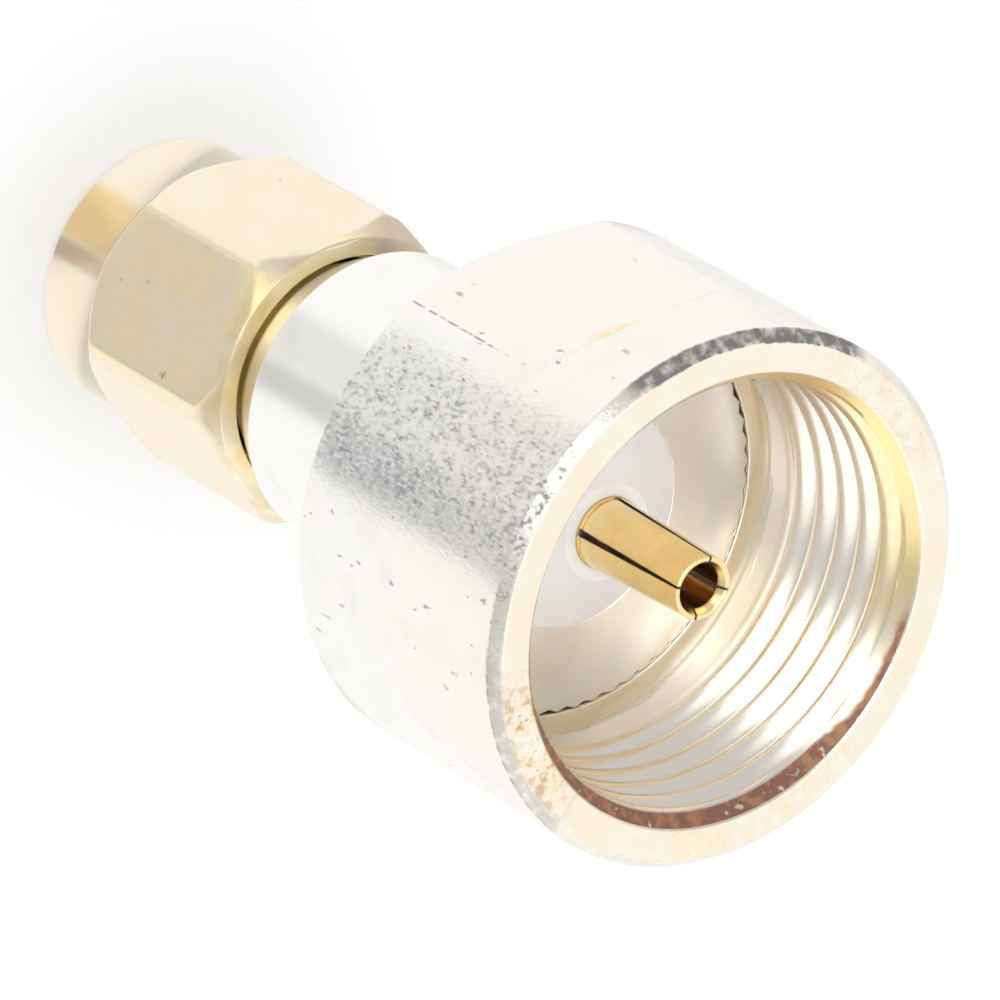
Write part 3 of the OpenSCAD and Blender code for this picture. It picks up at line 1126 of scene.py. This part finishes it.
def worn_wall(made, depth, colours):
    """Shader of the shell's outside: cream towards the mouth, pitted along one side with a painted reflection
    stripe, with dirt and a painted dark reflection at the mouth's edge, and thin gold on the ring of its face.
    Depth is measured from the mouth."""
    turn, radius = made.turn, made.radius
    sizes = bpy.context.scene.shell_sizes
    edge_radius = (SHELL_HIGH.x - sizes.mouth_chamfer) / MM
    face = depth.ramp(0.03, 0.08, 1.0, 0.0)
    wall = 1.0 - face
    flat = abs(abs(made.y) - sizes.across_flats / 2 / MM).ramp(0.01, 0.05, 1.0, 0.0) * wall

    cloud = made.noise(1.5, 1.0)
    grain = made.noise(0.3)
    fine = made.noise(0.1, 1.0, made.place * (1.0, 1.0, 0.5))
    wander = fine.beside("Color")
    pitted = turn.band(-17.0, 12.0, 5.0) * wall
    speckled = turn.band(-44.0, 24.0, 14.0) * wall
    # Painted reflection: the shaded stripe stands in for a grey screen mirrored in the wall.
    shaded = turn.band(-18.0, -7.0, 3.0) * wall
    small_pits = made.pits(wander, 0.32, pitted * 0.25 + speckled * 0.22, 0.09, 2.0)
    large_pits = made.pits(wander, 0.62, speckled * 0.55 + wall * 0.26, 0.11, 2.2)
    stain_spot = turn.band(36.5, 46.5, 2.5) * depth.band(2.95, 3.65, 0.25) * wall
    scratch = abs(turn - 20.7).ramp(0.1, 0.35, 1.0, 0.0) * depth.band(4.65, 9.05, 0.5) * wall
    tone = made.coats(
        colours.nickel,
        (colours.cream_nickel, depth.ramp(6.75, 0.75) * wall),
        (colours.worn_patch, cloud.ramp(0.5, 0.75) * 0.3),
        (colours.cream_nickel, flat * 0.6),
        # Painted reflection of the grey screens: the dull stripe, and the grey mottle of the pitted side, which
        # is partly wear.
        (colours.dull_nickel_and_shade, shaded * (0.6 + 0.4 * grain) * depth.ramp(1.75, 6.25, 0.25, 0.6)),
        (colours.dull_nickel_and_shade, grain.ramp(0.4, 0.65) * pitted * 0.4),
        (colours.speck, fine.ramp(0.5, 0.7) * pitted * grain.ramp(0.25, 0.65) * 0.6),
        (colours.bright_nickel, fine.ramp(0.46, 0.36) * pitted * 0.8),
        (colours.speck, small_pits * 0.8),
        (colours.pit_brown_and_shade, large_pits * 0.5),
        (colours.yellow_stain, stain_spot * grain.ramp(0.3, 0.5) * 0.85),
        (colours.pit_brown_and_shade, scratch * grain.ramp(0.35, 0.55) * 0.8),
    )

    # The mouth's outer edge is darkened: partly dirt, and partly a painted dark reflection of the side where
    # the camera stands.
    edge = (radius - depth + 0.16 * (grain - 0.5)).ramp(edge_radius - 0.07, edge_radius + 0.01)
    solid = turn.band(27.0, 88.0, 4.0)
    broken = turn.band(-36.0, 6.0, 4.0) * grain.ramp(0.4, 0.6) * (0.25 + 0.4 * fine.ramp(0.4, 0.6))
    thin = turn.band(-82.0, -36.0, 3.0) * (radius - depth).ramp(edge_radius + 0.03, edge_radius - 0.03)
    grime_and_reflection = edge * solid.most(broken).most(thin * 0.7 + 0.1)

    scuffed = turn.band(-76.0, -44.0, 9.0)
    stained = scuffed * 0.8 + turn.band(-170.0, -106.0, 14.0) * 0.12 + turn.band(88.0, 120.0, 9.0) * 0.3
    ring = made.coats(
        colours.mouth_gold,
        (colours.cream_nickel, cloud.ramp(0.3, 0.6) * 0.5),
        (colours.ochre, (0.05 + stained) * grain.ramp(0.4, 0.62) * 0.75),
        (colours.tarnish, scuffed * grain.ramp(0.57, 0.66) * 0.4),
        (colours.pit_brown_and_shade, small_pits.most(fine.ramp(0.68, 0.76)) * (0.1 + stained) * 0.7),
    )
    tone = made.coats(tone, (colours.grime_and_shade, grime_and_reflection * 0.85), (ring, face * (1.0 - grime_and_reflection)))

    # dirt also holds the painted dark reflection on the mouth's edge.
    dirt = grime_and_reflection.most(small_pits * wall).most(large_pits)
    roughness = 0.17 + 0.1 * pitted + 0.08 * cloud + 0.3 * dirt
    return made.shader(tone, roughness, 1.0 - 0.75 * dirt, fine, 0.006)


def tarnished_bore(made, depth, colours):
    """Shader of the thread, the relief and the lead-in, which is burnt brown on one side and golden on the
    other, with painted shade in the thread's roots. Depth is measured from the mouth."""
    turn, radius = made.turn, made.radius
    minor = bpy.context.scene.shell_sizes.minor_diameter / 2 / MM
    grain = made.noise(0.35)
    # Painted shade: brown in the roots of the thread.
    root = radius.ramp(minor + 0.3, minor + 0.42) * depth.ramp(5.2, 5.5, 1.0, 0.0)
    golden = depth.ramp(0.7, 2.2, 1.0, 0.0) * turn.band(64.0, 168.0, 12.0)
    lead = radius.ramp(minor + 0.04, minor + 0.12) * depth.ramp(0.5, 0.6, 1.0, 0.0)
    side = turn.calculate("COSINE", (turn + 105.0) * (math.pi / 180))
    reach = side.ramp(0.3, 0.8, 0.12, 0.5)
    burnt = side.ramp(-0.2, 0.0) * (reach - depth + 0.2 * grain).ramp(-0.05, 0.1) * grain.ramp(0.2, 0.34)
    rust = made.coats(colours.burnt_brass, (colours.tarnish, grain.ramp(0.45, 0.62) * 0.6))
    lead_tone = made.coats(
        colours.mouth_gold,
        (colours.yellow_stain, turn.band(60.0, 158.0, 12.0) * 0.85),
        (rust, burnt * 0.92),
    )
    tone = made.coats(
        colours.thread_nickel,
        (colours.yellow_stain, golden * (0.4 + 0.5 * grain)),
        (colours.root_shade_brown, root * 0.12),
        (lead_tone, lead),
    )
    dirt = burnt * lead
    return made.shader(tone, 0.19 + 0.04 * grain + 0.25 * dirt, 1.0 - 0.6 * dirt)


def bright_nickel(colours):
    """The body's plating: bright and turned, with a painted reflection of the gold nut on the taper, and satin
    with painted shade bands on the flange.
    """
    made = Surface("bright_nickel")
    turn, height = made.turn, made.height
    shoulder = MAIN_HIGH.z / MM
    taper = shoulder - bpy.context.scene.body_sizes.neck_length / MM
    flange = height.ramp(shoulder + 1.5, shoulder + 1.7)
    rings = made.turning_marks(0.06)
    cloud = made.noise(1.3)
    # Painted shade: darker bands round the flange's face stand in for the sunburst reflection of a turned face.
    shade = turn.band(-42.0, -18.0, 14.0) + turn.band(-132.0, -108.0, 12.0) + turn.band(86.0, 158.0, 20.0)
    satin = made.coats(
        colours.satin_nickel,
        (colours.worn_patch, cloud.ramp(0.4, 0.7) * 0.3 + rings * 0.2),
        (colours.dull_nickel_and_shade, shade.least(1.0) * 0.25),
    )
    tone = made.coats(
        colours.bright_nickel,
        (colours.worn_patch, cloud.ramp(0.5, 0.8) * 0.3),
        # Painted reflection of the gold nut, and painted shade near it.
        (colours.nut_reflection_gold, height.ramp(taper + 0.5, taper + 0.1) * 0.8),
        (satin, flange),
    )
    return made.finish(made.shader(tone, 0.16 + 0.1 * rings + 0.12 * flange, 1.0, rings, 0.002))


def pale_gold(colours):
    """The small nut's plating: pale gold, tarnished round the collar, with painted shade at the facets' ends on
    one side.
    """
    made = Surface("pale_gold")
    turn, height, radius = made.turn, made.height, made.radius
    sizes = bpy.context.scene.nut_sizes
    collar = sizes.collar_length / MM
    rear = NUT_HIGH.z / MM
    mouth = sizes.mouth_diameter / 2 / MM
    cloud = made.noise(1.3, 3.0)
    fine = made.noise(0.2)
    on_collar = height.ramp(collar + 0.05, collar - 0.05)
    handled = turn.band(-38.0, 18.0, 3.0) * (1.0 - on_collar)
    dark_pits = made.pits(fine.beside("Color"), 0.8, 0.13 + 0.2 * handled, 0.13, 1.5)
    # Painted shade on the rear corner chamfers at one side of the nut.
    shaded_corner = turn.band(66.0, 100.0, 10.0) * (height + radius).ramp(rear + 3.5, rear + 3.7)
    tone = made.coats(
        colours.pale_gold,
        (colours.cream_nickel, cloud.ramp(0.45, 0.7) * 0.3),
        (colours.olive_gold, handled * (0.15 + 0.8 * cloud.ramp(0.35, 0.65))),
        (colours.amber, turn.band(-7.0, 18.0, 4.0) * on_collar * 0.8),
        (colours.tarnish, turn.band(-16.0, -8.0, 2.0) * on_collar * 0.45),
        (colours.grime_and_shade, dark_pits * 0.6),
        (colours.brass, height.ramp(rear - 0.7, rear - 0.3) * cloud.ramp(0.42, 0.62) * 0.35),
        (colours.brass, radius.ramp(mouth + 0.02, mouth - 0.05) * 0.5),
        (colours.pit_brown_and_shade, shaded_corner * 0.5),
    )
    roughness = 0.2 + 0.1 * cloud + 0.25 * dark_pits
    relief = 0.5 + 0.3 * fine - 0.5 * dark_pits
    return made.finish(made.shader(tone, roughness, 1.0 - 0.6 * dark_pits, relief, 0.008))


def contact_gold(colours):
    """Bright gold plating, with painted shade: brown inside the socket and nearly black on the faces of its
    slots.
    """
    made = Surface("contact_gold")
    sizes = bpy.context.scene.contact_sizes
    bore = sizes.bore_diameter / 2 / MM
    tip = CONTACT_HIGH.z / MM
    boss = INSULATOR_HIGH.z / MM
    taper = (sizes.slot_width - sizes.tip_slot_width) / 2 / MM / (tip - boss)
    half_slot = sizes.tip_slot_width / 2 / MM + (tip - made.height) * taper
    east, north = math.cos(sizes.slot_turn), math.sin(sizes.slot_turn)
    across = abs(made.x * north - made.y * east)
    along = abs(made.x * east + made.y * north)
    # Painted shade on the faces of the slots, where little light falls.
    slot_shade = (across.least(along) - half_slot).ramp(0.015, 0.025, 1.0, 0.0)
    slot_shade = slot_shade * made.height.ramp(boss, boss + 0.05)
    rings = made.turning_marks(0.08)
    cloud = made.noise(0.7)
    tone = made.coats(
        colours.contact_gold,
        (colours.amber, cloud.ramp(0.45, 0.75) * 0.4),
        # Painted shade inside the socket's bore.
        (colours.tarnish, made.radius.ramp(bore + 0.06, bore + 0.02) * 0.45),
        (colours.grime_and_shade, slot_shade * 0.9),
    )
    roughness = 0.18 + 0.08 * cloud + 0.2 * slot_shade
    return made.finish(made.shader(tone, roughness, 1.0 - 0.7 * slot_shade, rings, 0.002))


def ptfe(colours):
    """White, waxy insulator with faint turning marks."""
    made = Surface("ptfe")
    cloud = made.noise(1.2)
    rings = made.turning_marks(0.12)
    tone = made.coats(colours.ptfe, (colours.ptfe_shade, cloud.ramp(0.4, 0.75) * 0.6 + 0.2 * rings))
    return made.finish(made.shader(tone, 0.42 + 0.1 * cloud, 0.0, rings, 0.002))


def spring_bronze(colours):
    """Drawn spring wire, a little tarnished."""
    made = Surface("spring_bronze")
    cloud = made.noise(0.6, 4.0)
    tone = made.coats(colours.spring_bronze, (colours.tarnish, cloud.ramp(0.5, 0.75) * 0.5))
    return made.finish(made.shader(tone, 0.3 + 0.15 * cloud, 1.0, made.noise(0.1), 0.003))


def gasket_rubber(colours):
    """Matt red rubber with a dusty bloom."""
    made = Surface("gasket")
    cloud = made.noise(0.5, 4.0)
    tone = made.coats(colours.gasket, (colours.gasket_bloom, cloud.ramp(0.45, 0.8) * 0.5))
    return made.finish(made.shader(tone, 0.55 + 0.15 * cloud, 0.0, made.noise(0.12, 3.0), 0.01))


# Operators


class MakeShell(bpy.types.Operator):
    """Make the coupling shell with its wrench flats and threaded mouth"""

    bl_idname = "adapter.make_shell"
    bl_label = "Coupling Shell"

    def execute(self, context):
        material = worn_nickel(context.scene.finish_colours)
        mesh = shell_mesh(context.scene.shell_sizes, material)
        piece(mesh, "turned_shell", "shell", material, "coupling_shell")
        return {"FINISHED"}


class MakeBody(bpy.types.Operator):
    """Make the main body and the front body with its knurled rim"""

    bl_idname = "adapter.make_body"
    bl_label = "Body"

    def execute(self, context):
        sizes = context.scene.body_sizes
        material = bright_nickel(context.scene.finish_colours)
        front = front_body_mesh(sizes, material)
        piece(front, "knurled_flange", "root", material, "front_body")
        piece(main_body_mesh(sizes), "turned_body", "root", material, "main_body")
        return {"FINISHED"}


class MakeInsulators(bpy.types.Operator):
    """Make the face insulator and finish the small one"""

    bl_idname = "adapter.make_insulators"
    bl_label = "Insulators"

    def execute(self, context):
        material = ptfe(context.scene.finish_colours)
        mesh = insulator_mesh(context.scene.insulator_sizes, context.scene.contact_sizes)
        piece(mesh, "boss_insulator", "root", material, "face_insulator")
        dress("sma_insulator", material)
        return {"FINISHED"}


class MakeContacts(bpy.types.Operator):
    """Make the slotted socket contact and finish the pin"""

    bl_idname = "adapter.make_contacts"
    bl_label = "Contacts"

    def execute(self, context):
        material = contact_gold(context.scene.finish_colours)
        mesh = contact_mesh(context.scene.contact_sizes, material)
        piece(mesh, "slotted_contact", "root", material, "socket_contact")
        dress("centre_pin", material)
        return {"FINISHED"}


class MakeNut(bpy.types.Operator):
    """Make the small coupling nut"""

    bl_idname = "adapter.make_nut"
    bl_label = "Small Nut"

    def execute(self, context):
        material = pale_gold(context.scene.finish_colours)
        mesh = nut_mesh(context.scene.nut_sizes, material)
        piece(mesh, "hexagon_nut", "nut", material, "sma_nut")
        return {"FINISHED"}


class FinishTrim(bpy.types.Operator):
    """Finish the snap ring and the gasket"""

    bl_idname = "adapter.finish_trim"
    bl_label = "Ring and Gasket"

    def execute(self, context):
        colours = context.scene.finish_colours
        dress("nut_snap_ring", spring_bronze(colours))
        dress("nut_gasket", gasket_rubber(colours))
        return {"FINISHED"}


def studio_world(sizes):
    """Light for the stage: white from all round and below, dimmer above the horizon between round windows in
    front, at one side, at the back and straight above, with grey screens standing low."""
    world = bpy.data.worlds.new("studio")
    world.use_nodes = True
    graph = Graph(world.node_tree)
    direction = graph.node("ShaderNodeTexCoord", None, output="Generated")
    east, north, up = graph.split(direction)
    turn = around(east, north)

    def window(azimuth, elevation, half_width, soft=6.0):
        """1 in a round window, given by angles in degrees."""
        theta = math.radians(-45.0 - azimuth)
        height = math.radians(elevation)
        centre = (math.cos(theta) * math.cos(height), math.sin(theta) * math.cos(height), math.sin(height))
        nearness = graph.node("ShaderNodeVectorMath", {"operation": "DOT_PRODUCT"}, direction, centre)
        ends = [math.cos(math.radians(half_width + step)) for step in (soft, -soft)]
        return nearness.ramp(*ends)

    front = window(12.0, 62.0, 22.0).most(window(12.0, 34.0, 20.0))
    side = window(-98.0, 43.0, 25.0).most(window(-110.0, 18.0, 22.0))
    back = window(180.0, 52.0, 40.0, 14.0)
    top = window(0.0, 90.0, 14.0)
    windows = front.most(side).most(back).most(top)
    dimmed = up.ramp(0.0, 0.25) * (1.0 - sizes.ceiling) * (1.0 - windows)
    glare = front * 0.6 + side * 0.2 + top * sizes.top_window
    first = turn.band(*sizes.first_screen, sizes.screen_softness) * (1.0 - sizes.first_tone)
    second = turn.band(*sizes.second_screen, sizes.screen_softness) * (1.0 - sizes.second_tone)
    third = turn.band(*sizes.third_screen, sizes.third_softness) * (1.0 - sizes.third_tone)
    low = up.ramp(-0.1, 0.2, 1.0, 0.0)
    strength = 1.0 - dimmed - low * (first.most(second) + third) + glare
    light = graph.node("ShaderNodeBackground", None, (1.0, 1.0, 1.0), strength)
    graph.node("ShaderNodeOutputWorld", None, light)
    bpy.context.scene.world = world


def floor(sizes):
    """A pale floor that only the camera sees, and only from above, so that light reaches every side."""
    made = bpy.data.materials.new("studio_floor")
    made.use_nodes = True
    graph = Graph(made.node_tree)
    from_camera = graph.node("ShaderNodeLightPath", None, output="Is Camera Ray")
    from_below = graph.node("ShaderNodeNewGeometry", None, output="Backfacing")
    sheet = graph.node("ShaderNodeBsdfDiffuse", None, (sizes.floor_tone,) * 3)
    clear = graph.node("ShaderNodeBsdfTransparent")
    glow = graph.node("ShaderNodeEmission", None, (1.0, 1.0, 1.0), 1.0)
    lit = graph.node("ShaderNodeMixShader", None, sizes.floor_glow, sheet, glow)
    shader = graph.node("ShaderNodeMixShader", None, from_camera * (1.0 - from_below), clear, lit)
    graph.node("ShaderNodeOutputMaterial", None, shader)
    mesh = bpy.data.meshes.new("floor")
    half = sizes.floor_size / 2
    corners = [(-half, -half, 0.0), (half, -half, 0.0), (half, half, 0.0), (-half, half, 0.0)]
    mesh.from_pydata(corners, [], [(0, 1, 2, 3)])
    mesh.materials.append(made)
    thing = bpy.data.objects.new("floor", mesh)
    bpy.context.scene.collection.objects.link(thing)


def camera(sizes):
    """A long lens that looks at a point near the axis."""
    azimuth, elevation, roll = sizes.azimuth, sizes.elevation, sizes.roll
    back = Vector(
        (
            math.sin(azimuth) * math.cos(elevation),
            -math.cos(azimuth) * math.cos(elevation),
            math.sin(elevation),
        )
    )
    level = Vector((math.cos(azimuth), math.sin(azimuth), 0.0))
    upward = back.cross(level)
    right = math.cos(roll) * level + math.sin(roll) * upward
    up = math.cos(roll) * upward - math.sin(roll) * level
    target = sizes.sideways * level + Vector((0.0, 0.0, sizes.height))
    data = bpy.data.cameras.new("camera")
    data.lens = sizes.lens
    data.clip_start = 0.01
    data.clip_end = 10.0
    thing = bpy.data.objects.new("camera", data)
    turn_to = Matrix((right, up, back)).transposed().to_4x4()
    thing.matrix_world = Matrix.Translation(target + back * sizes.distance) @ turn_to
    bpy.context.scene.collection.objects.link(thing)
    bpy.context.scene.camera = thing


class MakeStage(bpy.types.Operator):
    """Make the floor, the light and the camera"""

    bl_idname = "adapter.make_stage"
    bl_label = "Stage"

    def execute(self, context):
        sizes = context.scene.stage_sizes
        context.scene.view_settings.view_transform = "Standard"
        # Light leaves the deep bore only after many reflections, and the plain parts need few samples.
        context.scene.cycles.glossy_bounces = 12
        context.scene.cycles.adaptive_threshold = 0.02
        context.scene.cycles.adaptive_min_samples = 16
        studio_world(sizes)
        floor(sizes)
        camera(sizes)
        return {"FINISHED"}


STEPS = (MakeShell, MakeBody, MakeInsulators, MakeContacts, MakeNut, FinishTrim, MakeStage)
SETTINGS = {
    "shell_sizes": ShellSizes,
    "body_sizes": BodySizes,
    "insulator_sizes": InsulatorSizes,
    "contact_sizes": ContactSizes,
    "nut_sizes": NutSizes,
    "finish_colours": FinishColours,
    "stage_sizes": StageSizes,
}


class AdapterPanel(bpy.types.Panel):
    """Lists the steps that make the adapter, and its sizes and colours"""

    bl_idname = "VIEW3D_PT_adapter"
    bl_label = "Coaxial Adapter"
    bl_space_type = "VIEW_3D"
    bl_region_type = "UI"
    bl_category = "Adapter"

    def draw(self, context):
        for step in STEPS:
            self.layout.operator(step.bl_idname)
        for name, group in SETTINGS.items():
            box = self.layout.box()
            box.label(text=name.replace("_", " ").title())
            settings = getattr(context.scene, name)
            for entry in group.__annotations__:
                box.prop(settings, entry)


CLASSES = (*SETTINGS.values(), *STEPS, AdapterPanel)


def register():
    for made in CLASSES:
        bpy.utils.register_class(made)
    for name, group in SETTINGS.items():
        setattr(bpy.types.Scene, name, PointerProperty(type=group))


def unregister():
    for name in SETTINGS:
        delattr(bpy.types.Scene, name)
    for made in reversed(CLASSES):
        bpy.utils.unregister_class(made)


def main():
    register()
    for step in STEPS:
        group, name = step.bl_idname.split(".")
        getattr(getattr(bpy.ops, group), name)()


if __name__ == "__main__":
    main()
